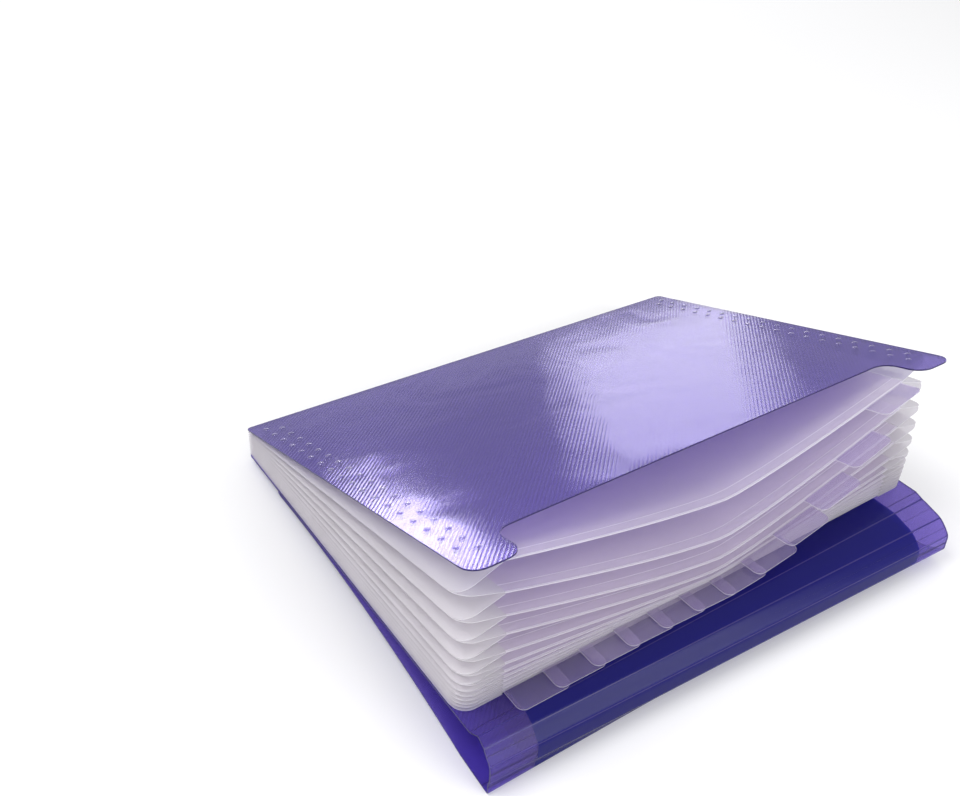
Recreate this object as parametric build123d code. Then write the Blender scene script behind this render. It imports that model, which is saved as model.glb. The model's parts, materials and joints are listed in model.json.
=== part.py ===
from build123d import *
import math
import os

# Expanding file for A4 papers, thirteen pockets. Millimetres, +Z up, mouth towards -Y.
# It is modelled open: the file lies on its flap, which is folded back under it, and the pockets fan out.
# A sheet has its own frame: x across, v from the spine to the mouth, n up from its lower face.

# Covers
COVER_WIDTH = 330.0
COVER_DEPTH = 236.0
COVER_THICKNESS = 0.8
COVER_TAIL = 3.0
TAIL_RADIUS = 3.0
CORNER_RADIUS = 9.0
EAR_WIDTH = 28.0
RECESS_DEPTH = 25.0
RECESS_RADIUS = 9.0

# Dividers and their index tabs
DIVIDER_COUNT = 12
DIVIDER_WIDTH = 280.0
DIVIDER_DEPTH = 222.0
DIVIDER_THICKNESS = 0.4
TAB_WIDTH = 31.0
TAB_LENGTH = 14.0
TAB_RADIUS = 4.0
TAB_FIRST_X = -124.0
TAB_PITCH = 22.4

# Pocket gussets
POCKET_GAP = 1.0
PLEAT_DEPTH = 24.5
SPINE_PLEAT = 2.6
FILM = 0.25
WELD_LAP = 4.0
PLEAT_CORNER = 9.0
FOLD_INSET = 0.04
SIDE_STATIONS = 8

# How far the file is fanned out: the angle of each sheet above the back cover, the front cover last
COVER_TILT = 5.8
FAN = [0.1, 0.3, 0.55, 0.9, 1.3, 1.9, 2.9, 4.5, 7.0, 9.4, 12.3, 16.2, 18.2]

# Flap: five creases, four strips between them, then the panel. The folds add up to 180 and the tilt,
# so that the panel lies level on the floor.
FLAP_WIDTH = 326.0
CREASE_COUNT = 5
CREASE_FOLDS = [20.0, 28.0, 38.0, 47.0, 52.8]
STRIP = 10.5
CREASE_GAP = 0.3
PANEL_LENGTH = 226.0
PANEL_LAND = 22.0
PANEL_BOW = 7.5
PANEL_RADIUS = 12.0
BOW_STEPS = 24

# Elastic and its toggles, placed on the panel
CORD_RADIUS = 0.9
CORD_HOLE = 1.6
CORD_BEND = 1.65
CORD_ROUNDING = 0.45
SHARP_TURN = 45.0
CORD_STOPS = [0.0, 0.06, 0.16, 0.33, 0.5, 0.67, 0.84, 0.94, 1.0]
CORD_INNER_STOPS = [0.88, 0.66, 0.32]
CORD_SLACK = 2.0
SIDE_HOLE_X = 146.0
SIDE_HOLE_Q = 128.0
END_HOLE_X = 60.0
END_HOLE_Q = 205.0
TOGGLE_RADIUS = 1.5
TOGGLE_LENGTH = 20.0
TOGGLE_TURN = -25.0
CORD_CLEARANCE = 0.4
TOGGLE_CLEARANCE = 0.1

PITCH = POCKET_GAP + DIVIDER_THICKNESS
X_AXIS = Vector(1, 0, 0)
CUT_REACH = 40.0


def direction(angle):
    """Unit vector in the plane across the file. At zero it points to the mouth; a positive angle lifts it."""
    a = math.radians(angle)
    return Vector(0, -math.cos(a), math.sin(a))


def normal(angle):
    """The upward normal of a sheet tilted by that angle."""
    a = math.radians(angle)
    return Vector(0, math.sin(a), math.cos(a))


# The flap's chain of creases under the file, as directions and points relative to the first crease.
strip_angles = [COVER_TILT - sum(CREASE_FOLDS[:k + 1]) for k in range(CREASE_COUNT)]
crease_offsets = [Vector(0, 0, 0)]
for angle in strip_angles[:-1]:
    crease_offsets.append(crease_offsets[-1] + direction(angle) * STRIP)

# Height: the panel's inner face, which looks down, lies on the floor.
HALF = COVER_THICKNESS / 2
first_crease_z = HALF - crease_offsets[-1].Z

# Hinge lines of the sheets, relative to the back cover's
hinges = [Vector(0, 0, 0)]
tilts = [COVER_TILT]
for k in range(DIVIDER_COUNT + 1):
    rise = COVER_THICKNESS + POCKET_GAP if k == 0 else PITCH
    hinges.append(hinges[-1] + normal(tilts[-1]) * rise)
    tilts.append(COVER_TILT + FAN[k])

# Centre of the whole along Y: from the outside of the flap's bend to the top of the front cover's tail
crease_from_hinge = direction(COVER_TILT) * COVER_DEPTH + normal(COVER_TILT) * HALF
bend_y = min((crease_from_hinge + c + normal(a) * s).Y
             for c, a in zip(crease_offsets[1:], strip_angles[:-1])
             for s in (-HALF, HALF))
tail = hinges[-1] + direction(tilts[-1]) * -COVER_TAIL
tail_top = tail + normal(tilts[-1]) * COVER_THICKNESS
ORIGIN = Vector(0, -(bend_y + tail_top.Y) / 2, first_crease_z - crease_from_hinge.Z)

hinges = [ORIGIN + h for h in hinges]
first_crease = ORIGIN + crease_from_hinge
creases = [first_crease + c for c in crease_offsets]


def at(k, x, v, n=0.0):
    """A point of sheet k's frame: 0 is the back cover, 1 to 12 the dividers, 13 the front cover."""
    return hinges[k] + X_AXIS * x + direction(tilts[k]) * v + normal(tilts[k]) * n


def sheet_plane(k):
    """Sketch plane on sheet k's lower face, with sketch y pointing from the mouth to the spine."""
    return Plane(origin=hinges[k], x_dir=(1, 0, 0), z_dir=normal(tilts[k]))


def raised(face, plane, thickness):
    """The flat face, drawn on the plane, given its thickness upwards."""
    return plane * extrude(face, amount=thickness, dir=(0, 0, 1))


def rounded(face, points, radius):
    """Rounds the face's corners that lie at the given points."""
    corners = [v for v in face.vertices()
               if any((Vector(v.X, v.Y, v.Z) - Vector(*p)).length < 0.01 for p in points)]
    return fillet(corners, radius)


def outline(points):
    """A face from the corner points, which lie in the sketch plane."""
    return make_face(Polyline(*points, close=True).edges())


def back_cover():
    half = COVER_WIDTH / 2
    mouth = -(COVER_DEPTH - CREASE_GAP)
    face = outline([(-half, COVER_TAIL), (half, COVER_TAIL), (half, mouth), (-half, mouth)])
    face = rounded(face, [(-half, COVER_TAIL, 0), (half, COVER_TAIL, 0)], TAIL_RADIUS)
    return raised(face, sheet_plane(0), COVER_THICKNESS)


def front_cover():
    half = COVER_WIDTH / 2
    inner = half - EAR_WIDTH
    mouth = -COVER_DEPTH
    recess = -(COVER_DEPTH - RECESS_DEPTH)
    face = outline([(-half, COVER_TAIL), (half, COVER_TAIL), (half, mouth), (inner, mouth),
                    (inner, recess), (-inner, recess), (-inner, mouth), (-half, mouth)])
    face = rounded(face, [(-half, mouth, 0), (half, mouth, 0)], CORNER_RADIUS)
    face = rounded(face, [(-inner, mouth, 0), (inner, mouth, 0)], CORNER_RADIUS)
    face = rounded(face, [(-inner, recess, 0), (inner, recess, 0)], RECESS_RADIUS)
    face = rounded(face, [(-half, COVER_TAIL, 0), (half, COVER_TAIL, 0)], TAIL_RADIUS)
    return raised(face, sheet_plane(DIVIDER_COUNT + 1), COVER_THICKNESS)


def divider(k):
    half = DIVIDER_WIDTH / 2
    edge = -DIVIDER_DEPTH
    tip = edge - TAB_LENGTH
    left = TAB_FIRST_X - TAB_WIDTH / 2 + TAB_PITCH * (k - 1)
    right = left + TAB_WIDTH
    face = outline([(-half, 0), (half, 0), (half, edge), (right, edge),
                    (right, tip), (left, tip), (left, edge), (-half, edge)])
    face = rounded(face, [(left, tip, 0), (right, tip, 0)], TAB_RADIUS)
    return raised(face, sheet_plane(k), DIVIDER_THICKNESS)


def gusset(k):
    """Pleated film round three sides of pocket k, which lies between sheet k - 1 and sheet k."""
    left = [pleat_section(k, -1, i / SIDE_STATIONS) for i in range(SIDE_STATIONS + 1)]
    right = [pleat_section(k, 1, i / SIDE_STATIONS) for i in range(SIDE_STATIONS + 1)]
    sections = left + list(reversed(right))
    faces = [facet(reversed(sections[0])), facet(sections[-1])]
    for first, second in zip(sections, sections[1:]):
        faces += skin(first, second)
    film = Solid(Shell(faces))
    for sign in (-1, 1):
        film = film - pleat_corner(k, sign)
    return film


def pleat_section(k, sign, along):
    """The film's section at one side, from the mouth at 0 along it to the spine at 1: a lap on the lower
    sheet, out to the pleat's fold, back in, and a lap on the upper sheet. The first six points are the
    outer skin and the others the inner one."""
    low_top = COVER_THICKNESS if k == 1 else DIVIDER_THICKNESS
    half = DIVIDER_WIDTH / 2
    v = DIVIDER_DEPTH * (1 - along)
    root = (half, v)
    weld = (half - WELD_LAP, v + WELD_LAP * along)
    tip = (half + PLEAT_DEPTH, v - SPINE_PLEAT * along)
    inner_tip = (tip[0] + (root[0] - tip[0]) * FOLD_INSET, tip[1] + (root[1] - tip[1]) * FOLD_INSET)
    fold = tip_share(k)
    section = []
    # Each point: its place in the sheet, its height as a share of the pocket's, and its side of the film
    points = [(weld, 0, 0), (root, 0, 0), (tip, fold, -1), (tip, fold, 1), (root, 1, 0), (weld, 1, 0),
              (weld, 1, -1), (root, 1, -1), (inner_tip, fold, 0), (root, 0, 1), (weld, 0, 1)]
    for spot, share, lift in points:
        below = at(k - 1, sign * spot[0], spot[1], low_top)
        above = at(k, sign * spot[0], spot[1])
        up = (above - below).normalized()
        room = (above - below).length
        on_fold = spot in (tip, inner_tip)
        height = FILM + (room - 2 * FILM) * share if on_fold else room * share
        section.append(below + up * (height + lift * FILM))
    return section


def tip_share(k):
    """Height of a pleat's fold between its two sheets: the outermost pleats fold against the covers."""
    if k == 1:
        return 0.0
    return 1.0 if k == DIVIDER_COUNT + 1 else 0.5


def skin(first, second):
    """Flat facets from one section to the next. Both skins are split along the same diagonal, so that the
    twisted film between them keeps its thickness, and the right side mirrors the left."""
    faces = []
    right = second[0].X > 0
    for i in range(len(first)):
        j = (i + 1) % len(first)
        if (i < 6) != right:
            faces.append(facet([first[i], first[j], second[j]]))
            faces.append(facet([first[i], second[j], second[i]]))
        else:
            faces.append(facet([first[i], first[j], second[i]]))
            faces.append(facet([first[j], second[j], second[i]]))
    return faces


def facet(points):
    return Face(Wire.make_polygon(list(points), close=True))


def pleat_corner(k, sign):
    """What is cut away to round the outer corner of a pleat at the mouth."""
    reach = 3.0
    outer = DIVIDER_WIDTH / 2 + PLEAT_DEPTH
    arc_x = sign * (outer - PLEAT_CORNER)
    arc_y = -(DIVIDER_DEPTH - PLEAT_CORNER)
    block = Pos(arc_x + sign * (PLEAT_CORNER + reach) / 2, arc_y - (PLEAT_CORNER + reach) / 2)
    corner = block * Rectangle(PLEAT_CORNER + reach, PLEAT_CORNER + reach)
    corner = corner - Pos(arc_x, arc_y) * Circle(PLEAT_CORNER)
    middle = (tilts[k - 1] + tilts[k]) / 2
    plane = Plane(origin=hinges[k - 1], x_dir=(1, 0, 0), z_dir=normal(middle))
    return plane * Pos(0, 0, -CUT_REACH) * extrude(corner, amount=2 * CUT_REACH, dir=(0, 0, 1))


def strip_plane(k):
    """Plane of flap strip k, or of the panel when k is the last; sketch y runs back along the flap."""
    return Plane(origin=creases[k], x_dir=(1, 0, 0), z_dir=normal(strip_angles[k]))


def flap_strip(k):
    length = STRIP - 2 * CREASE_GAP
    shape = Pos(0, -STRIP / 2, 0) * Box(FLAP_WIDTH, length, COVER_THICKNESS)
    return strip_plane(k) * shape


def bow(q):
    """How far the panel bulges to its outer side, at distance q from the last crease."""
    if q <= PANEL_LAND:
        return 0.0
    u = (q - PANEL_LAND) / (PANEL_LENGTH - PANEL_LAND)
    return PANEL_BOW * 4 * u * (1 - u)


def flap_panel():
    """In the panel's frame z points to the inner side, which looks down here, so the bow is towards -z."""
    steps = [CREASE_GAP, PANEL_LAND]
    for i in range(BOW_STEPS):
        steps.append(PANEL_LAND + (PANEL_LENGTH - PANEL_LAND) * (i + 1) / BOW_STEPS)
    inner = [(0, -q, HALF - bow(q)) for q in steps]
    outer = [(0, -q, -HALF - bow(q)) for q in reversed(steps)]
    side = make_face(Polyline(*inner, *outer, close=True).edges())
    sheet = Pos(-FLAP_WIDTH / 2, 0, 0) * extrude(side, amount=FLAP_WIDTH, dir=(1, 0, 0))
    half = FLAP_WIDTH / 2
    plan = outline([(-half, 0), (half, 0), (half, -PANEL_LENGTH), (-half, -PANEL_LENGTH)])
    plan = rounded(plan, [(-half, -PANEL_LENGTH, 0), (half, -PANEL_LENGTH, 0)], PANEL_RADIUS)
    sheet = sheet & Pos(0, 0, -CUT_REACH) * extrude(plan, amount=2 * CUT_REACH, dir=(0, 0, 1))
    for x, q in ((SIDE_HOLE_X, SIDE_HOLE_Q), (END_HOLE_X, END_HOLE_Q)):
        for sign in (-1, 1):
            sheet = sheet - Pos(sign * x, -q, -bow(q)) * Cylinder(CORD_HOLE, 5 * COVER_THICKNESS)
    return strip_plane(CREASE_COUNT - 1) * sheet


def rod(a, b, radius):
    """A round bar from point a to point b."""
    a, b = Vector(*a), Vector(*b)
    return Solid.make_cylinder(radius, (b - a).length, Plane(origin=a, z_dir=b - a))


# Heights of the elastic and of the toggles off the panel's middle surface
outside = HALF + CORD_RADIUS + CORD_CLEARANCE
toggle_z = HALF + TOGGLE_RADIUS + TOGGLE_CLEARANCE


def over(x, q, height):
    """A point off the panel's middle surface; a positive height is on the inner side."""
    return (x, -q, height - bow(q))


def cord_route():
    """From one toggle out through its hole, across to the end hole, in and along to the other side."""
    halves = []
    for sign in (-1, 1):
        half_route = [over(sign * SIDE_HOLE_X, SIDE_HOLE_Q, toggle_z)]
        for t in CORD_STOPS:
            x = SIDE_HOLE_X + (END_HOLE_X - SIDE_HOLE_X) * t
            q = SIDE_HOLE_Q + (END_HOLE_Q - SIDE_HOLE_Q) * t
            half_route.append(over(sign * x, q, -outside))
        half_route.append(over(sign * END_HOLE_X, END_HOLE_Q, outside))
        for t in CORD_INNER_STOPS:
            q = END_HOLE_Q - CORD_SLACK * (1 - t * t)
            half_route.append(over(sign * END_HOLE_X * t, q, outside))
        halves.append(half_route)
    return halves[0] + list(reversed(halves[1]))


def cord_radii(points):
    """Tight bends at the holes; over the bulge each arc is as large as its two runs allow."""
    radii = []
    for a, b, c in zip(points, points[1:], points[2:]):
        before = Vector(*b) - Vector(*a)
        after = Vector(*c) - Vector(*b)
        turn = before.get_angle(after)
        if turn > SHARP_TURN:
            radii.append(CORD_BEND)
        else:
            shorter = min(before.length, after.length)
            radii.append(CORD_ROUNDING * shorter / math.tan(math.radians(turn / 2)))
    return radii


def cord():
    points = cord_route()
    radii = cord_radii(points)
    path = FilletPolyline(*points, radius=radii)
    section = Plane(origin=path @ 0, z_dir=path % 0) * Circle(CORD_RADIUS)
    tube = sweep(section, path=path)
    print("elastic: length", round(path.length, 1), "radii", [round(r, 1) for r in radii])
    print("elastic: volume", round(tube.volume, 1), "section times length",
          round(math.pi * CORD_RADIUS ** 2 * path.length, 1))
    return tube


def toggle(sign, string):
    """Small bar on the panel's inner face, with the end of the elastic let into its middle."""
    x, y, z = over(sign * SIDE_HOLE_X, SIDE_HOLE_Q, toggle_z)
    a = math.radians(TOGGLE_TURN)
    dx, dy = math.cos(a) * TOGGLE_LENGTH / 2, math.sin(a) * TOGGLE_LENGTH / 2
    bar = rod((x - dx, y - dy, z), (x + dx, y + dy, z), TOGGLE_RADIUS)
    return bar - string


def save(shape, name):
    export_step(shape, os.path.join("parts", name + ".step"))


os.makedirs("parts", exist_ok=True)
save(back_cover(), "back_cover")
save(front_cover(), "front_cover")
for number in range(1, DIVIDER_COUNT + 1):
    save(divider(number), f"divider_{number:02d}")
for number in range(1, DIVIDER_COUNT + 2):
    save(gusset(number), f"gusset_{number:02d}")
for number in range(1, CREASE_COUNT):
    save(flap_strip(number - 1), f"flap_strip_{number}")
save(flap_panel(), "flap_panel")
string = cord()
panel_plane = strip_plane(CREASE_COUNT - 1)
save(panel_plane * string, "elastic_cord")
save(panel_plane * toggle(-1, string), "toggle_left")
save(panel_plane * toggle(1, string), "toggle_right")
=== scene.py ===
import json
import math

import bpy
from mathutils import Matrix, Vector
from mathutils.geometry import delaunay_2d_cdt


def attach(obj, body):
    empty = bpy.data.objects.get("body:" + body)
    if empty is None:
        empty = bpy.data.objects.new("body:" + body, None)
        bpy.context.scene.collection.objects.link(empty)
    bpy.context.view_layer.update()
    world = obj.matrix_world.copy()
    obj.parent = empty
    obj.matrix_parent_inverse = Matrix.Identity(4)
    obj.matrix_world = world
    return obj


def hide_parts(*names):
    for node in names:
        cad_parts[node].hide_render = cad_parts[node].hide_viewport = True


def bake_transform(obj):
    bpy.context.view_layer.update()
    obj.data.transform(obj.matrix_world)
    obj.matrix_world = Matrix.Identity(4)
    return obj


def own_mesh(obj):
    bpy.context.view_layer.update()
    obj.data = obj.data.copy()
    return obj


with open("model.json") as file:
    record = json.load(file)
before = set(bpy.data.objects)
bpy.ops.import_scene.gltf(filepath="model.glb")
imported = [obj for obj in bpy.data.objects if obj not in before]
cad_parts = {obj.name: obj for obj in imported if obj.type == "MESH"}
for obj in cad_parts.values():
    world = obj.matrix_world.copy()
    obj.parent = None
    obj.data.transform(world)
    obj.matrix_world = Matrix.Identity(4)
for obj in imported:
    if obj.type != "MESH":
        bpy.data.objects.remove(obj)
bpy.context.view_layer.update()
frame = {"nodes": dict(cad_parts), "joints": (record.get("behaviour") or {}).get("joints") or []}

# An expanding file, open and fanned out on its folded-back flap. Metres, the frame's axes.
# A sheet has its own frame: x across, v from the spine to the mouth, n up from its lower face.
# Sheet 0 is the back cover, 1 to 12 the dividers and 13 the front cover.

MM = 0.001
SHEETS = 13
joints = {j["name"]: j for j in frame["joints"]}

# Sizes of the sheets
COVER_WIDTH = 330 * MM
COVER_DEPTH = 236 * MM
COVER_TAIL = 3 * MM
COVER_THICK = 0.8 * MM
TAIL_CORNER = 3 * MM
POCKET_GAP = 1.0 * MM
RECESS_DEPTH = 25 * MM
EAR_WIDTH = 28 * MM
CORNER = 9 * MM
DIVIDER_WIDTH = 280 * MM
DIVIDER_DEPTH = 222 * MM
DIVIDER_THICK = 0.4 * MM
TAB_WIDTH = 31 * MM
TAB_LENGTH = 14 * MM
TAB_FIRST = -124 * MM
TAB_PITCH = 22.4 * MM
TAB_CORNER = 4 * MM
PLEAT_DEPTH = 24.5 * MM
SPINE_PLEAT = 2.6 * MM
FILM = 0.25 * MM
BACK_SHORT = 5 * MM
FLAP_WIDTH = 326 * MM
PANEL_LENGTH = 226 * MM
PANEL_LAND = 22 * MM
PANEL_BOW = 7.5 * MM
PANEL_CORNER = 12 * MM
STRIP = 10.5 * MM

# The tilt of each sheet at rest, from the joints' ranges: a pocket closes through its whole range
TILT = 5.8
tilts = [TILT]
for k in range(1, SHEETS + 1):
    tilts.append(tilts[-1] - joints[f"pocket_hinge_{k:02d}"]["range_deg"][0])
hinge_points = [Vector(joints[f"pocket_hinge_{k:02d}"]["pos_m"]) for k in range(1, SHEETS + 1)]


def along(angle):
    """The direction from the spine to the mouth in a sheet tilted by that many degrees."""
    a = math.radians(angle)
    return Vector((0, -math.cos(a), math.sin(a)))


def upward(angle):
    """The direction square to such a sheet, towards its upper face."""
    a = math.radians(angle)
    return Vector((0, math.sin(a), math.cos(a)))


# The back cover's own frame starts a cover and a closed pocket below the first hinge
hinge_points.insert(0, hinge_points[0] - upward(TILT) * (COVER_THICK + POCKET_GAP))


def at(k, x, v, n=0.0):
    """A point of sheet k's frame, at rest."""
    return hinge_points[k] + Vector((x, 0, 0)) + along(tilts[k]) * v + upward(tilts[k]) * n


def body_name(k):
    """The CAD body of sheet k."""
    if k == 0:
        return "back_cover"
    return "front_cover" if k == SHEETS else f"pocket_sheet_{k:02d}"


# Camera
CAMERA_AT = Vector((-0.35416, -0.29897, 0.44820))
CAMERA_LOOK = Vector((0.49673, 0.58698, -0.63930))
CAMERA_UP = Vector((0.28577, 0.58492, 0.75908))
FOCAL_PIXELS = 1050
FRAME_WIDTH = 960
look = CAMERA_LOOK.normalized()
right = look.cross(CAMERA_UP).normalized()
up = right.cross(look)
lens = bpy.data.cameras.new("camera")
lens.sensor_width = 36
lens.lens = FOCAL_PIXELS * lens.sensor_width / FRAME_WIDTH
lens.clip_start = 0.01
camera = bpy.data.objects.new("camera", lens)
turn = Matrix((right, up, -look)).transposed().to_4x4()
camera.matrix_world = Matrix.Translation(CAMERA_AT) @ turn
bpy.context.scene.collection.objects.link(camera)
bpy.context.scene.camera = camera


# Materials. A noise's scale counts its waves per metre.
SWELL_SCALE = 19.0
SWELL_DETAIL = 1.5
SWELL_DISTORTION = 0.8
# Tone patches and lighter embossed lines: on the purple cover and flap films partly their own tone, partly
# painted sheen
CLOUD_AND_SHEEN_SCALE = 22.0
CLOUD_AND_SHEEN_DETAIL = 3.0
CLOUD_AND_SHEEN_SHARE = 0.3
LINE_SHEEN_SHARE = 0.7
LINE_PITCH = 2.0 * MM
LINE_RELIEF = 0.05 * MM
LINE_STRENGTH = 0.6
LINE_SLANT = -45
FILM_IOR = 1.49
FILM_SPECULAR = 0.25
GLOSS_IOR = 1.45
THREAD_PITCH = 0.9 * MM
THREAD_SLANTS = (35, -35)
THREAD_RELIEF = 0.2 * MM
THREAD_STRENGTH = 0.7
# A wave texture of scale 1 repeats at this length
WAVE_LENGTH = math.pi / 10


def new_material(name):
    """An empty material with its node tree and output node."""
    m = bpy.data.materials.new(name)
    m.use_nodes = True
    tree = m.node_tree
    tree.nodes.clear()
    out = tree.nodes.new("ShaderNodeOutputMaterial")
    return m, tree, out


def node(tree, kind, **inputs):
    """A new node with those input values; an underscore in a name stands for a space."""
    n = tree.nodes.new(kind)
    for key, value in inputs.items():
        n.inputs[key.replace("_", " ")].default_value = value
    return n


def maths(tree, operation, first, second=0.0):
    """A maths node on two values, each a socket or a number; returns its output."""
    n = tree.nodes.new("ShaderNodeMath")
    n.operation = operation
    for socket, value in zip(n.inputs, (first, second)):
        if isinstance(value, (int, float)):
            socket.default_value = value
        else:
            tree.links.new(value, socket)
    return n.outputs[0]


def colour_mix(tree, factor, first, second):
    """A colour between two by a factor socket; each is a socket or three numbers."""
    tone = tree.nodes.new("ShaderNodeMix")
    tone.data_type = "RGBA"
    tree.links.new(factor, tone.inputs[0])
    for place, colour in ((6, first), (7, second)):
        if isinstance(colour, bpy.types.NodeSocket):
            tree.links.new(colour, tone.inputs[place])
        else:
            tone.inputs[place].default_value = (*colour, 1)
    return tone.outputs[2]


def film_normal(tree, coords, lines, waves):
    """The slight waviness of a film, with its embossed lines on top."""
    normal = None
    if waves:
        swell = node(tree, "ShaderNodeTexNoise", Scale=SWELL_SCALE, Detail=SWELL_DETAIL,
                     Distortion=SWELL_DISTORTION)
        tree.links.new(coords.outputs["Object"], swell.inputs["Vector"])
        bumps = node(tree, "ShaderNodeBump", Strength=1.0, Distance=waves)
        tree.links.new(swell.outputs["Fac"], bumps.inputs["Height"])
        normal = bumps.outputs[0]
    if lines:
        ridges = node(tree, "ShaderNodeBump", Strength=LINE_STRENGTH, Distance=LINE_RELIEF)
        tree.links.new(lines, ridges.inputs["Height"])
        if normal:
            tree.links.new(normal, ridges.inputs["Normal"])
        normal = ridges.outputs[0]
    return normal


def slanted_lines(tree, uv, pitch):
    """Lines on a slant, that far apart: 0 between them, 1 on them."""
    spin = node(tree, "ShaderNodeMapping")
    spin.inputs["Rotation"].default_value = (0, 0, math.radians(LINE_SLANT))
    tree.links.new(uv, spin.inputs["Vector"])
    wave = node(tree, "ShaderNodeTexWave", Scale=WAVE_LENGTH / pitch, Distortion=0.0)
    wave.wave_type = "BANDS"
    wave.bands_direction = "X"
    tree.links.new(spin.outputs[0], wave.inputs["Vector"])
    return wave.outputs["Fac"]


def film_material(name, base, clear, cover, rough=0.3, pitch=0.0, waves=0.0, cloud_and_sheen=0.06, shine=0.6,
                  zones=()):
    """Translucent film: a share of the light goes straight through, tinted, and the film scatters the
    rest. cover is the share that it scatters, pitch the spacing of its embossed lines, waves the height
    of its slight waviness, cloud how far its tone varies in patches and lighter along its lines, which
    on the purple films is partly its own tone and partly painted sheen, and shine how much of the gloss
    it has. A zone is (measure, low, high, base, clear, cover), where measure is "across", the distance
    from the middle, or "along", the distance from the spine."""
    m, tree, out = new_material(name)
    link = tree.links.new
    coords = tree.nodes.new("ShaderNodeTexCoord")
    uv = tree.nodes.new("ShaderNodeUVMap")
    uv.uv_map = "UVMap"
    lines = slanted_lines(tree, uv.outputs[0], pitch) if pitch else None
    # Patches of tone, lighter along the embossed lines: partly the film's own tone, partly painted sheen
    clouds_and_sheen = node(tree, "ShaderNodeTexNoise", Scale=CLOUD_AND_SHEEN_SCALE, Detail=CLOUD_AND_SHEEN_DETAIL)
    link(coords.outputs["Object"], clouds_and_sheen.inputs["Vector"])
    factor = clouds_and_sheen.outputs["Fac"]
    if lines:
        dimmed = maths(tree, "MULTIPLY", factor, CLOUD_AND_SHEEN_SHARE)
        factor = maths(tree, "ADD", dimmed, maths(tree, "MULTIPLY", lines, LINE_SHEEN_SHARE))
    darker = [c * (1 - cloud_and_sheen) for c in base]
    lighter = [min(1, c * (1 + cloud_and_sheen)) for c in base]
    tone = colour_mix(tree, factor, darker, lighter)
    tint = None
    share = None
    spread = tree.nodes.new("ShaderNodeSeparateXYZ")
    link(coords.outputs["Object"], spread.inputs[0])
    flat = tree.nodes.new("ShaderNodeSeparateXYZ")
    link(uv.outputs[0], flat.inputs[0])
    measures = {"across": maths(tree, "ABSOLUTE", spread.outputs[0]), "along": flat.outputs[1]}
    for measure, low, high, zone_base, zone_clear, zone_cover in zones:
        above = maths(tree, "GREATER_THAN", measures[measure], low)
        mask = maths(tree, "MULTIPLY", above, maths(tree, "LESS_THAN", measures[measure], high))
        tone = colour_mix(tree, mask, tone, zone_base)
        tint = colour_mix(tree, mask, tint or clear, zone_clear)
        outside = maths(tree, "MULTIPLY", maths(tree, "SUBTRACT", 1.0, mask), share or cover)
        share = maths(tree, "ADD", outside, maths(tree, "MULTIPLY", mask, zone_cover))
    normal = film_normal(tree, coords, lines, waves)
    skin = node(tree, "ShaderNodeBsdfPrincipled", Roughness=rough, IOR=FILM_IOR,
                Specular_IOR_Level=FILM_SPECULAR)
    glow = node(tree, "ShaderNodeBsdfTranslucent")
    gloss = node(tree, "ShaderNodeBsdfGlossy", Roughness=rough)
    edge_on = node(tree, "ShaderNodeFresnel", IOR=GLOSS_IOR)
    link(tone, skin.inputs["Base Color"])
    link(tone, glow.inputs["Color"])
    if normal:
        for shader in (skin, gloss, edge_on):
            link(normal, shader.inputs["Normal"])
    through = node(tree, "ShaderNodeBsdfTransparent", Color=(*clear, 1))
    if tint:
        link(tint, through.inputs["Color"])
    # Half of what the film scatters goes on through it
    body = node(tree, "ShaderNodeMixShader", Fac=0.5)
    link(skin.outputs[0], body.inputs[1])
    link(glow.outputs[0], body.inputs[2])
    mix = node(tree, "ShaderNodeMixShader", Fac=cover)
    if share:
        link(share, mix.inputs[0])
    link(through.outputs[0], mix.inputs[1])
    link(body.outputs[0], mix.inputs[2])
    # The gloss lies on the clear share too
    glossed = node(tree, "ShaderNodeMixShader")
    link(maths(tree, "MULTIPLY", edge_on.outputs[0], shine), glossed.inputs[0])
    link(mix.outputs[0], glossed.inputs[1])
    link(gloss.outputs[0], glossed.inputs[2])
    link(glossed.outputs[0], out.inputs["Surface"])
    return m


def weave_material(name, dark, light):
    """Braided elastic: two sets of slanted threads crossing round the cord."""
    m, tree, out = new_material(name)
    link = tree.links.new
    coords = tree.nodes.new("ShaderNodeTexCoord")
    threads = []
    for slant in THREAD_SLANTS:
        spin = node(tree, "ShaderNodeMapping")
        spin.inputs["Rotation"].default_value = (0, 0, math.radians(slant))
        link(coords.outputs["Object"], spin.inputs["Vector"])
        wave = node(tree, "ShaderNodeTexWave", Scale=WAVE_LENGTH / THREAD_PITCH, Distortion=0.0)
        link(spin.outputs[0], wave.inputs["Vector"])
        threads.append(wave.outputs["Fac"])
    both = maths(tree, "MAXIMUM", *threads)
    cloth = node(tree, "ShaderNodeBsdfPrincipled", Roughness=0.75)
    link(colour_mix(tree, both, dark, light), cloth.inputs["Base Color"])
    ridges = node(tree, "ShaderNodeBump", Strength=THREAD_STRENGTH, Distance=THREAD_RELIEF)
    link(both, ridges.inputs["Height"])
    link(ridges.outputs[0], cloth.inputs["Normal"])
    link(cloth.outputs[0], out.inputs["Surface"])
    return m


# Colours of the films: what each scatters, and what it lets through
PURPLE = (0.195, 0.140, 0.500)
PURPLE_CLEAR = (0.60, 0.52, 0.92)
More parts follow.
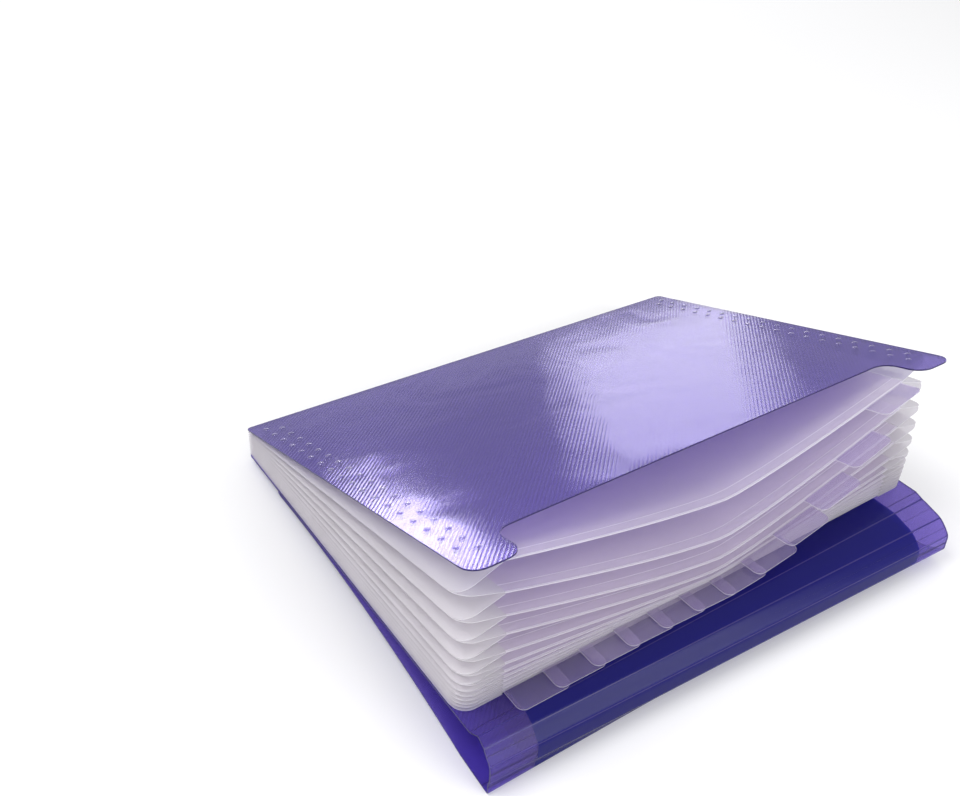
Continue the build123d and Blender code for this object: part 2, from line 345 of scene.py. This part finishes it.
# DEEP and DEEP_CLEAR darken the flap's middle: partly a second layer of film, partly painted shade
DEEP = (0.022, 0.020, 0.300)
DEEP_CLEAR = (0.12, 0.11, 0.62)
MILK = (0.94, 0.88, 1.0)
MILK_CLEAR = (0.985, 0.975, 0.998)
PLEAT = (0.97, 0.955, 0.96)
BRIGHT = (0.97, 0.95, 0.99)
WHITE = (1.0, 1.0, 1.0)
TAB = (0.74, 0.63, 0.96)
TAB_CLEAR = (0.97, 0.95, 1.0)
CUT = (0.030, 0.018, 0.130)
CUT_CLEAR = (0.2, 0.15, 0.5)
CREASED = (0.07, 0.05, 0.30)
CREASED_CLEAR = (0.35, 0.30, 0.75)
TOGGLE = (0.12, 0.09, 0.36)
TOGGLE_CLEAR = (0.5, 0.4, 0.9)
WELD = (0.62, 0.56, 0.90)
WELD_CLEAR = (0.97, 0.95, 1.0)
THREAD_DARK = (0.16, 0.05, 0.22)
THREAD_LIGHT = (0.46, 0.20, 0.50)

# Zones: the flap is darker in its middle, partly for a second layer of film and partly as painted
# shade from under the file; a divider has a pressed line, a bright lip and a clear tab beyond it
FAR = 1.0
DOUBLE_AND_SHADE_HALF = 136.5 * MM
LIP = 1.3 * MM
PRESSED_AT = 214.8 * MM
PRESSED_LINE = 0.6 * MM
flap_zones = [("across", -FAR, DOUBLE_AND_SHADE_HALF, DEEP, DEEP_CLEAR, 0.62)]
divider_zones = [("along", PRESSED_AT, PRESSED_AT + PRESSED_LINE, BRIGHT, WHITE, 0.62),
                 ("along", DIVIDER_DEPTH - LIP, DIVIDER_DEPTH, BRIGHT, WHITE, 0.70),
                 ("along", DIVIDER_DEPTH, FAR, TAB, TAB_CLEAR, 0.13)]
# The cover and flap films' strong tone patches and lighter lines are partly painted sheen
cover_film = film_material("cover_film", PURPLE, PURPLE_CLEAR, cover=0.36, rough=0.09,
                           pitch=LINE_PITCH, waves=0.4 * MM, cloud_and_sheen=0.34)
flap_film = film_material("flap_film", PURPLE, PURPLE_CLEAR, cover=0.36, rough=0.22,
                          pitch=LINE_PITCH, waves=0.4 * MM, cloud_and_sheen=0.28, shine=0.2, zones=flap_zones)
milk_film = film_material("milk_film", MILK, MILK_CLEAR, cover=0.42, rough=0.18,
                          waves=0.4 * MM, cloud_and_sheen=0.03, shine=0.4, zones=divider_zones)
pleat_film = film_material("pleat_film", PLEAT, MILK_CLEAR, cover=0.42, rough=0.20,
                           waves=0.5 * MM, cloud_and_sheen=0.04, shine=0.4)
edge_film = film_material("edge_film", CUT, CUT_CLEAR, cover=0.92)
milk_edge = film_material("milk_edge", BRIGHT, WHITE, cover=0.70, rough=0.25)
crease_film = film_material("crease_film", CREASED, CREASED_CLEAR, cover=0.75)
elastic_weave = weave_material("elastic_weave", THREAD_DARK, THREAD_LIGHT)
toggle_plastic = film_material("toggle_plastic", TOGGLE, TOGGLE_CLEAR, cover=0.85, rough=0.22)
weld_film = film_material("weld_film", WELD, WELD_CLEAR, cover=0.16, rough=0.08, shine=1.6)


# Mesh helpers: an edge sharper than its angle is shaded as a crease
SHEET_SHARP = 50
SHELL_SHARP = 42
SHEET_STEP = 9 * MM
RIM_SPACING = 0.45
MERGE = 1e-7


def make_object(name, points, faces, materials, slots=None, uvs=None, smooth=True):
    """A mesh object in the scene, with a material slot per face and a flat place per point."""
    mesh = bpy.data.meshes.new(name)
    mesh.from_pydata([tuple(p) for p in points], [], faces)
    for m in materials:
        mesh.materials.append(m)
    if slots:
        mesh.polygons.foreach_set("material_index", slots)
    if smooth:
        mesh.polygons.foreach_set("use_smooth", [True] * len(mesh.polygons))
    if uvs:
        layer = mesh.uv_layers.new(name="UVMap")
        for loop in mesh.loops:
            layer.data[loop.index].uv = uvs[loop.vertex_index]
    mesh.update()
    obj = bpy.data.objects.new(name, mesh)
    bpy.context.scene.collection.objects.link(obj)
    return obj


def arc(cx, cy, r, a0, a1, steps=6):
    """Points round a corner, in degrees, both ends included."""
    return [(cx + r * math.cos(math.radians(a0 + (a1 - a0) * i / steps)),
             cy + r * math.sin(math.radians(a0 + (a1 - a0) * i / steps))) for i in range(steps + 1)]


def evenly(points, step):
    """The closed outline with its long edges divided."""
    out = []
    for a, b in zip(points, points[1:] + points[:1]):
        n = max(1, round(math.dist(a, b) / step))
        out += [(a[0] + (b[0] - a[0]) * i / n, a[1] + (b[1] - a[1]) * i / n) for i in range(n)]
    return out


def inside(p, loop):
    """Whether the point is in the outline."""
    x, y = p
    hit = False
    for (x1, y1), (x2, y2) in zip(loop, loop[1:] + loop[:1]):
        if (y1 > y) != (y2 > y) and x < (x2 - x1) * (y - y1) / (y2 - y1) + x1:
            hit = not hit
    return hit


def sheet(name, loop, place, thick, materials, holes=()):
    """A thin closed sheet with that outline in (x, v) and those holes. place(x, v, n) gives each point."""
    step = SHEET_STEP
    loop = evenly(loop, step)
    count = len(loop)
    xs = [p[0] for p in loop]
    vs = [p[1] for p in loop]
    spots = list(loop)
    rims = [(list(range(count)), 1)]
    for hole in holes:
        rims.append((list(range(len(spots), len(spots) + len(hole))), -1))
        spots += hole
    fixed = list(spots)
    hole_edges = [(a, b) for ring, _ in rims[1:] for a, b in zip(ring, ring[1:] + ring[:1])]
    margin = step * RIM_SPACING
    nx = int((max(xs) - min(xs)) / step)
    nv = int((max(vs) - min(vs)) / step)
    for i in range(1, nx):
        for j in range(1, nv):
            p = (min(xs) + (max(xs) - min(xs)) * i / nx, min(vs) + (max(vs) - min(vs)) * j / nv)
            if inside(p, loop) and min(math.dist(p, q) for q in fixed) > margin:
                spots.append(p)
    outline = [list(range(count))]
    flat, _, triangles, *_ = delaunay_2d_cdt([Vector(p) for p in spots], hole_edges, outline, 1, MERGE)
    flat = [(p.x, p.y) for p in flat]
    total = len(flat)
    points = [place(x, v, thick) for x, v in flat] + [place(x, v, 0.0) for x, v in flat]
    faces, slots = [], []
    for t in triangles:
        a, b, c = (flat[i] for i in t)
        centre = ((a[0] + b[0] + c[0]) / 3, (a[1] + b[1] + c[1]) / 3)
        if any(inside(centre, hole) for hole in holes):
            continue
        area = (b[0] - a[0]) * (c[1] - a[1]) - (b[1] - a[1]) * (c[0] - a[0])
        t = list(t) if area < 0 else list(reversed(t))
        faces.append(t)
        faces.append([i + total for i in reversed(t)])
        slots += [0, 0]
    for ring, side in rims:
        path = [flat[i] for i in ring]
        sign = side * sum(a[0] * b[1] - a[1] * b[0] for a, b in zip(path, path[1:] + path[:1]))
        for i, j in zip(ring, ring[1:] + ring[:1]):
            a, b = (i, j) if sign < 0 else (j, i)
            faces.append([b, a, a + total, b + total])
            slots.append(1)
    obj = make_object(name, points, faces, materials, slots, flat * 2)
    obj.data.set_sharp_from_angle(angle=math.radians(SHEET_SHARP))
    return obj


# Covers
BACK_END = COVER_DEPTH - BACK_SHORT


def cover_loop(front):
    """A cover's outline: the front one has a recess between two ears, the back one ends at the flap."""
    half = COVER_WIDTH / 2
    inner = half - EAR_WIDTH
    r = CORNER
    t = TAIL_CORNER
    tail = t - COVER_TAIL
    loop = arc(t - half, tail, t, 180, 270, 3) + arc(half - t, tail, t, 270, 360, 3)
    if not front:
        return loop + [(half, BACK_END), (-half, BACK_END)]
    end = COVER_DEPTH
    low = end - RECESS_DEPTH
    loop += arc(half - r, end - r, r, 0, 90) + arc(inner + r, end - r, r, 90, 180)
    loop += arc(inner - r, low + r, r, 0, -90) + arc(-inner + r, low + r, r, 270, 180)
    loop += arc(-inner - r, end - r, r, 0, 90) + arc(-half + r, end - r, r, 90, 180)
    return loop


front = sheet("front_cover_sheet", cover_loop(True), lambda x, v, n: at(SHEETS, x, v, n), COVER_THICK,
              [cover_film, edge_film])
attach(front, "front_cover")
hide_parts("front_cover")
back = sheet("back_cover_sheet", cover_loop(False), lambda x, v, n: at(0, x, v, n), COVER_THICK,
             [flap_film, edge_film])
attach(back, "back_cover")
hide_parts("back_cover")


# Dividers
def smooth(t):
    """From 0 to 1 with soft ends, as t goes from 0 to 1."""
    t = min(1.0, max(0.0, t))
    return t * t * (3 - 2 * t)


def divider_loop(k):
    """Divider k's outline with its tab."""
    half = DIVIDER_WIDTH / 2
    end = DIVIDER_DEPTH
    tip = end + TAB_LENGTH
    left = TAB_FIRST - TAB_WIDTH / 2 + TAB_PITCH * (k - 1)
    r = TAB_CORNER
    loop = [(-half, 0.0), (half, 0.0), (half, end), (left + TAB_WIDTH, end)]
    loop += arc(left + TAB_WIDTH - r, tip - r, r, 0, 90, 4)
    loop += arc(left + r, tip - r, r, 90, 180, 4)
    return loop + [(left, end), (-half, end)]


# How far the middle of each divider's mouth edge hangs below its two sides, the lowest divider first
SAGS = [depth * MM for depth in (1.0, 2.4, 4.2, 6.4, 8.8, 11.7, 16.5, 22.0, 28.0, 30.0, 29.0, 22.0)]
SAG_ACROSS = 1.28
SAG_ALONG = 1.3


def sagged(k, x, v, n):
    """A point of divider k, which hangs from its pleats like cloth."""
    across = 1 - min(1.0, abs(x) / (DIVIDER_WIDTH / 2)) ** SAG_ACROSS
    along_it = min(1.0, max(0.0, v / DIVIDER_DEPTH)) ** SAG_ALONG
    return at(k, x, v, n - SAGS[k - 1] * across * along_it)


for k in range(1, SHEETS):
    piece = sheet(f"divider_sheet_{k:02d}", divider_loop(k), lambda x, v, n: sagged(k, x, v, n),
                  DIVIDER_THICK, [milk_film, milk_edge])
    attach(piece, body_name(k))
    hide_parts(f"divider_{k:02d}")
    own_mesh(piece)


# Gussets
def shell(name, rows, thick, materials, slots=None, uvs=None):
    """A thin closed sheet whose middle surface is the grid of points. Its four borders are cut edges."""
    nr, nc = len(rows), len(rows[0])
    upper, lower = [], []
    for i in range(nr):
        for j in range(nc):
            du = rows[min(i + 1, nr - 1)][j] - rows[max(i - 1, 0)][j]
            dv = rows[i][min(j + 1, nc - 1)] - rows[i][max(j - 1, 0)]
            n = du.cross(dv).normalized() * (thick / 2)
            upper.append(rows[i][j] + n)
            lower.append(rows[i][j] - n)
    total = nr * nc
    faces, kinds = [], []
    for i in range(nr - 1):
        for j in range(nc - 1):
            a, b, c, d = i * nc + j, (i + 1) * nc + j, (i + 1) * nc + j + 1, i * nc + j + 1
            kind = slots(i, j) if slots else 0
            faces.append([a, b, c, d])
            faces.append([d + total, c + total, b + total, a + total])
            kinds += [kind, kind]
    border = [i * nc for i in range(nr)] + [(nr - 1) * nc + j for j in range(1, nc)]
    border += [i * nc + nc - 1 for i in range(nr - 2, -1, -1)] + [j for j in range(nc - 2, 0, -1)]
    for a, b in zip(border, border[1:] + border[:1]):
        faces.append([b, a, a + total, b + total])
        kinds.append(1)
    flat = [uv for row in uvs for uv in row] * 2 if uvs else None
    obj = make_object(name, upper + lower, faces, materials, kinds, flat)
    obj.data.set_sharp_from_angle(angle=math.radians(SHELL_SHARP))
    return obj


PLEAT_CORNER = 9 * MM
# Distances in mm from the divider's edge to the pleat's fold, closer together near the round corner
PLEAT_ACROSS = [0, 3, 7, 11, 14, 16, 18, 20, 21.5, 22.8, 23.7, 24.5]
ROW_CROWDING = 1.25
SIDE_ROWS = 30
SPINE_ROWS = 10


def mouth_end(x):
    """Where a pleat is cut at the mouth: square near the divider, round at its outer corner."""
    outer = DIVIDER_WIDTH / 2 + PLEAT_DEPTH
    d = abs(x) - (outer - PLEAT_CORNER)
    if d <= 0:
        return DIVIDER_DEPTH
    return DIVIDER_DEPTH - PLEAT_CORNER + math.sqrt(max(0.0, PLEAT_CORNER ** 2 - d ** 2))


def gusset_path(across):
    """Stations from one mouth corner round the spine to the other, that far out from the divider's edge."""
    half = DIVIDER_WIDTH / 2
    f = across / PLEAT_DEPTH
    spots = []
    for sign in (-1, 1):
        side = []
        for i in range(SIDE_ROWS + 1):
            t = (i / SIDE_ROWS) ** ROW_CROWDING
            v = mouth_end(half + across) * (1 - t) - SPINE_PLEAT * f * t
            side.append((sign * (half + across), v))
        spots.append(side)
    spine = []
    for i in range(1, SPINE_ROWS):
        x = (half + across) * (2 * i / SPINE_ROWS - 1)
        spine.append((x, -SPINE_PLEAT * f))
    return spots[0] + spine + list(reversed(spots[1]))


for k in range(1, SHEETS + 1):
    low, high = k - 1, k
    low_top = COVER_THICK if low == 0 else DIVIDER_THICK
    # How far up its pocket the fold stands: half way, but on a cover for the two outer pockets
    tip_share = 0.5
    if k == 1:
        tip_share = 0.0
    if k == SHEETS:
        tip_share = 1.0
    columns, weights = [], []
    for upper_film in (False, True):
        steps = PLEAT_ACROSS if not upper_film else list(reversed(PLEAT_ACROSS))[1:]
        for d in steps:
            f = d * MM / PLEAT_DEPTH
            share = tip_share * f if not upper_film else 1 - (1 - tip_share) * f
            column = []
            for x, v in gusset_path(d * MM):
                below = at(low, x, v, low_top + FILM)
                above = at(high, x, v, -FILM)
                column.append(below.lerp(above, share))
            columns.append(column)
            weights.append(share)
    rows = [list(r) for r in zip(*columns)]
    piece = shell(f"pocket_gusset_{k:02d}", rows, FILM, [pleat_film, milk_edge])
    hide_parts(f"gusset_{k:02d}")
    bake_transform(piece)


# Flap: from the back cover round five creases to the panel
CREASES = 5
crease_points = [Vector(joints[f"flap_crease_{k}"]["pos_m"]) for k in range(1, CREASES + 1)]
flap_directions = [along(TILT)]
for a, b in zip(crease_points, crease_points[1:]):
    flap_directions.append((b - a).normalized())
flap_directions.append(Vector((0, 1, 0)))
SKEW = 7.0 * MM
SKEW_FULL = (2.6, 4.0)
SKEW_ENDS = (0.5, 5.2)
PANEL_START = STRIP / 2
FLAP_COLUMNS = 40
# Places round a crease, from -1 to 1: it is round up to ROUND_END, and the pressed line is the row of
# faces across its middle
CREASE_PLACES = [-1.0, -0.8, -0.6, -0.42, -0.28, -0.16, -0.06, 0.06, 0.16, 0.28, 0.42, 0.6, 0.8, 1.0]
ROUND_END = 0.42
CREASE_ROW = 6


def skewed(p, share):
    """The fold under the file isn't square to it: one end stands further out than the other."""
    half = FLAP_WIDTH / 2
    return p + Vector((0, -SKEW * share * p.x / half, 0))


def skew_share(k, t):
    """How much of the skew the flap has near crease k (1 to 5), t from -1 to 1 round that crease.
    It has all of it where the bend stands out furthest, and none at the back cover and the panel."""
    place = k + t * 0.5
    rising = smooth((place - SKEW_ENDS[0]) / (SKEW_FULL[0] - SKEW_ENDS[0]))
    falling = smooth((SKEW_ENDS[1] - place) / (SKEW_ENDS[1] - SKEW_FULL[1]))
    return min(rising, falling)


def bend_section(k):
    """Section points round crease k, each with its place t, from -1 to 1 round that crease."""
    corner = crease_points[k - 1]
    before, after = flap_directions[k - 1], flap_directions[k]
    reach = STRIP / 2
    first = BACK_SHORT if k == 1 else reach
    section = []
    for t in CREASE_PLACES:
        length = first if t < 0 else reach
        if abs(t) >= ROUND_END:
            p = corner + (after if t > 0 else -before) * abs(t) * length
        else:
            u = (t + ROUND_END) / (2 * ROUND_END)
            a = corner - before * ROUND_END * first
            b = corner + after * ROUND_END * reach
            p = a * (1 - u) ** 2 + corner * 2 * u * (1 - u) + b * u ** 2
        section.append((p, t))
    return section


for k in range(1, CREASES + 1):
    section = bend_section(k)
    rows, uvs, weights = [], [], []
    for p, t in section:
        share = skew_share(k, t)
        half = FLAP_WIDTH / 2
        if k == 1 and t < 0:
            half += (COVER_WIDTH - FLAP_WIDTH) / 2 * -t
        across = [half * (2 * j / FLAP_COLUMNS - 1) for j in range(FLAP_COLUMNS + 1)]
        row = [skewed(Vector((x, p.y, p.z)), share) for x in across]
        rows.append(row)
        uvs.append([(q.x, (k + t * 0.5) * STRIP) for q in row])
        weights += [smooth((t + 1) / 2)] * (FLAP_COLUMNS + 1)
    piece = shell(f"flap_bend_{k}", rows, COVER_THICK, [flap_film, edge_film, crease_film],
                  slots=lambda i, j: 2 if i == CREASE_ROW else 0, uvs=uvs)
    if k < CREASES:
        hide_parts(f"flap_strip_{k}")
    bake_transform(piece)


def bow(q):
    """How far the panel bows upwards at distance q from the last crease."""
    if q <= PANEL_LAND:
        return 0.0
    u = (q - PANEL_LAND) / (PANEL_LENGTH - PANEL_LAND)
    return PANEL_BOW * 4 * u * (1 - u)


def panel_point(x, q, height=0.0):
    """A point on the panel at distance q from the last crease; a positive height is on the inner side."""
    return crease_points[-1] + Vector((x, q, bow(q) - height))


def panel_loop():
    """The panel's outline from half a strip past the last crease."""
    half = FLAP_WIDTH / 2
    r = PANEL_CORNER
    end = PANEL_LENGTH
    return ([(-half, PANEL_START), (half, PANEL_START)] + arc(half - r, end - r, r, 0, 90)
            + arc(-half + r, end - r, r, 90, 180))


SIDE_HOLE = (146 * MM, 128 * MM)
END_HOLE = (60 * MM, 205 * MM)
HOLE_RADIUS = 1.6 * MM
hole_rims = [arc(side * x, q, HOLE_RADIUS, 0, 330, 11)
             for x, q in (SIDE_HOLE, END_HOLE) for side in (-1, 1)]
panel = sheet("flap_panel_sheet", panel_loop(), lambda x, q, n: panel_point(x, q, n - COVER_THICK / 2),
              COVER_THICK, [flap_film, edge_film], holes=hole_rims)
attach(panel, "flap_panel")
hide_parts("flap_panel")


# Elastic: from one toggle through its hole, across to the end hole, in and along to the other side
CORD_RADIUS = 0.9 * MM
CORD_CLEARANCE = 0.4 * MM
CORD_OFF = COVER_THICK / 2 + CORD_RADIUS + CORD_CLEARANCE
TOGGLE_RADIUS = 1.5 * MM
TOGGLE_CLEARANCE = 0.1 * MM
TOGGLE_OFF = COVER_THICK / 2 + TOGGLE_RADIUS + TOGGLE_CLEARANCE
CORD_STOPS = (0.0, 0.06, 0.16, 0.33, 0.5, 0.67, 0.84, 0.94, 1.0)
CORD_INNER_STOPS = (0.88, 0.66, 0.32)
CORD_SLACK = 2 * MM


def elastic_half(side):
    """Points from the toggle to the middle of the inner run, on one side."""
    points = [panel_point(side * SIDE_HOLE[0], SIDE_HOLE[1], TOGGLE_OFF)]
    for t in CORD_STOPS:
        x = SIDE_HOLE[0] + (END_HOLE[0] - SIDE_HOLE[0]) * t
        q = SIDE_HOLE[1] + (END_HOLE[1] - SIDE_HOLE[1]) * t
        points.append(panel_point(side * x, q, -CORD_OFF))
    points.append(panel_point(side * END_HOLE[0], END_HOLE[1], CORD_OFF))
    for t in CORD_INNER_STOPS:
        points.append(panel_point(side * END_HOLE[0] * t, END_HOLE[1] - CORD_SLACK * (1 - t * t), CORD_OFF))
    return points


def elastic():
    """The elastic as one curve, with a toggle on each end."""
    points = elastic_half(-1) + list(reversed(elastic_half(1)))
    curve = bpy.data.curves.new("elastic", "CURVE")
    curve.dimensions = "3D"
    curve.bevel_depth = CORD_RADIUS
    curve.bevel_resolution = 4
    curve.use_fill_caps = True
    spline = curve.splines.new("NURBS")
    spline.points.add(len(points) - 1)
    for spot, point in zip(spline.points, points):
        spot.co = (*point, 1)
    spline.order_u = 3
    spline.use_endpoint_u = True
    spline.resolution_u = 12
    curve.materials.append(elastic_weave)
    cord = bpy.data.objects.new("elastic", curve)
    bpy.context.scene.collection.objects.link(cord)
    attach(cord, "flap_panel")
    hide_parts("elastic_cord")
    toggles = [frame["nodes"]["toggle_left"], frame["nodes"]["toggle_right"]]
    for bar in toggles:
        for slot in bar.material_slots:
            slot.material = toggle_plastic


elastic()

# Welds that hold the outer pleats to the front cover: two columns of small domes near each side
DOT_COLUMNS = (8 * MM, 15.5 * MM)
DOT_PITCH = 12 * MM
DOT_RADIUS = 1.8 * MM
DOT_HEIGHT = 0.55 * MM
DOT_SIDES = 12
DOT_ROWS = 18
DOT_START = 0.7
DOT_STAGGER = 0.5
# Rings of a dome from its foot, which is sunk a little, towards its top: share of radius and of height
DOT_RINGS = ((1.0, -0.02), (0.86, 0.5), (0.5, 0.9))


def weld_dots(side):
    """The two columns of domes along one side of the front cover, as one piece."""
    points, faces = [], []
    for column, inset in enumerate(DOT_COLUMNS):
        for i in range(DOT_ROWS):
            x = side * (COVER_WIDTH / 2 - inset)
            v = DOT_PITCH * (i + DOT_START + DOT_STAGGER * column)
            first = len(points)
            for share, height in DOT_RINGS:
                for a in range(DOT_SIDES):
                    angle = 2 * math.pi * a / DOT_SIDES
                    n = COVER_THICK + DOT_HEIGHT * height
                    points.append(at(SHEETS, x + DOT_RADIUS * share * math.cos(angle),
                                     v + DOT_RADIUS * share * math.sin(angle), n))
            points.append(at(SHEETS, x, v, COVER_THICK + DOT_HEIGHT))
            for ring in (0, 1):
                for a in range(DOT_SIDES):
                    b = (a + 1) % DOT_SIDES
                    low = first + ring * DOT_SIDES
                    faces.append([low + b, low + a, low + a + DOT_SIDES, low + b + DOT_SIDES])
            top = first + 2 * DOT_SIDES
            faces += [[top + (a + 1) % DOT_SIDES, top + a, first + 3 * DOT_SIDES] for a in range(DOT_SIDES)]
    name = "weld_dots_left" if side < 0 else "weld_dots_right"
    dots = make_object(name, points, faces, [weld_film])
    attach(dots, "front_cover")


weld_dots(-1)
weld_dots(1)


# Stage and light
FLOOR_HALF = 6.0
FLOOR_DROP = 0.4 * MM
FLOOR_PAINT = (0.93, 0.93, 0.94, 1)
SKY_STRENGTH = 0.75
LAMP_AIM = Vector((0, 0, 0.03))


def floor():
    """A wide pale floor just below the object."""
    h = FLOOR_HALF
    obj = make_object("floor", [(-h, -h, 0), (h, -h, 0), (h, h, 0), (-h, h, 0)], [(0, 1, 2, 3)], [],
                      smooth=False)
    m, tree, out = new_material("floor_paint")
    paint = node(tree, "ShaderNodeBsdfDiffuse", Color=FLOOR_PAINT)
    tree.links.new(paint.outputs[0], out.inputs["Surface"])
    obj.data.materials.append(m)
    obj.location.z = -FLOOR_DROP


floor()
world = bpy.data.worlds.new("studio")
bpy.context.scene.world = world
world.use_nodes = True
tree = world.node_tree
background = tree.nodes["Background"]
background.inputs["Color"].default_value = (1, 1, 1, 1)
background.inputs["Strength"].default_value = SKY_STRENGTH


def lamp(name, place, size, power):
    """A square lamp aimed at the object, with its side in metres and its power in watts."""
    data = bpy.data.lights.new(name, "AREA")
    data.shape = "SQUARE"
    data.size = size
    data.energy = power
    obj = bpy.data.objects.new(name, data)
    obj.location = place
    obj.rotation_euler = (LAMP_AIM - Vector(place)).to_track_quat("-Z", "Y").to_euler()
    bpy.context.scene.collection.objects.link(obj)


lamp("key", (-0.9, 0.5, 1.5), 0.9, 14)
lamp("fill", (0.55, -1.45, 0.70), 1.0, 13)


def mirrored_in(sheet_number, x, v, distance):
    """Where a lamp has to be for the camera to see it mirrored in that point of a sheet."""
    spot = at(sheet_number, x, v)
    n = upward(tilts[sheet_number])
    back = (CAMERA_AT - spot).normalized()
    return spot + (n * 2 * n.dot(back) - back) * distance


# Small lamps mirrored in the near left ear and down its side, and a wide one in the cover's right half
MIRROR_DISTANCE = 1.6
SHEEN_ACROSS = -161 * MM
SHEEN_ALONG = (228 * MM, 196 * MM, 160 * MM)
STREAK_AT = (55 * MM, 115 * MM)
for number, v in enumerate(SHEEN_ALONG, 1):
    lamp(f"sheen_{number}", mirrored_in(SHEETS, SHEEN_ACROSS, v, MIRROR_DISTANCE), 0.11, 0.33)
lamp("streak", mirrored_in(SHEETS, *STREAK_AT, MIRROR_DISTANCE), 0.40, 1.6)
bpy.context.scene.view_settings.view_transform = "Standard"
bpy.context.scene.cycles.transparent_max_bounces = 48
bpy.context.scene.cycles.diffuse_bounces = 10
